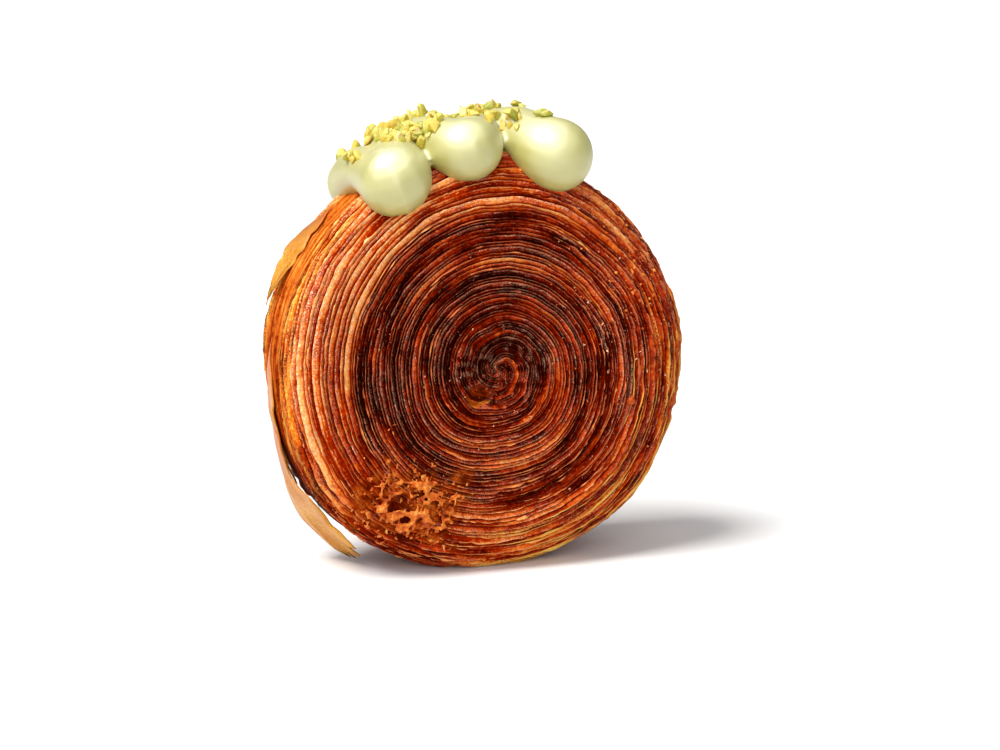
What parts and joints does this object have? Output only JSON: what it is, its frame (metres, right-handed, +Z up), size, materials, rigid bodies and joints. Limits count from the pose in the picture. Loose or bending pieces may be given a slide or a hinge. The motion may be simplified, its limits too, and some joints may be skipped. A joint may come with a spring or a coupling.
{
  "type": "spiral kouign amann with piped cream",
  "caption": "Spiral roll of laminated, caramelised dough standing on its rim, with cream piped back and forth over the top and chopped pistachios",
  "frame": {"origin": "middle of the small flat spot that the roll stands on", "axes": "+Z up through the roll's diameter, the roll's axis along Y with the front face towards -Y, X across the front face"},
  "size_m": [0.1041, 0.0425, 0.1139],
  "materials": {
    "baked_dough": "glazed, caramelised crust",
    "cream": "soft gloss"
  },
  "bodies": {
    "root": {"pastry": "baked_dough", "cream": "cream"}
  },
  "joints": []
}
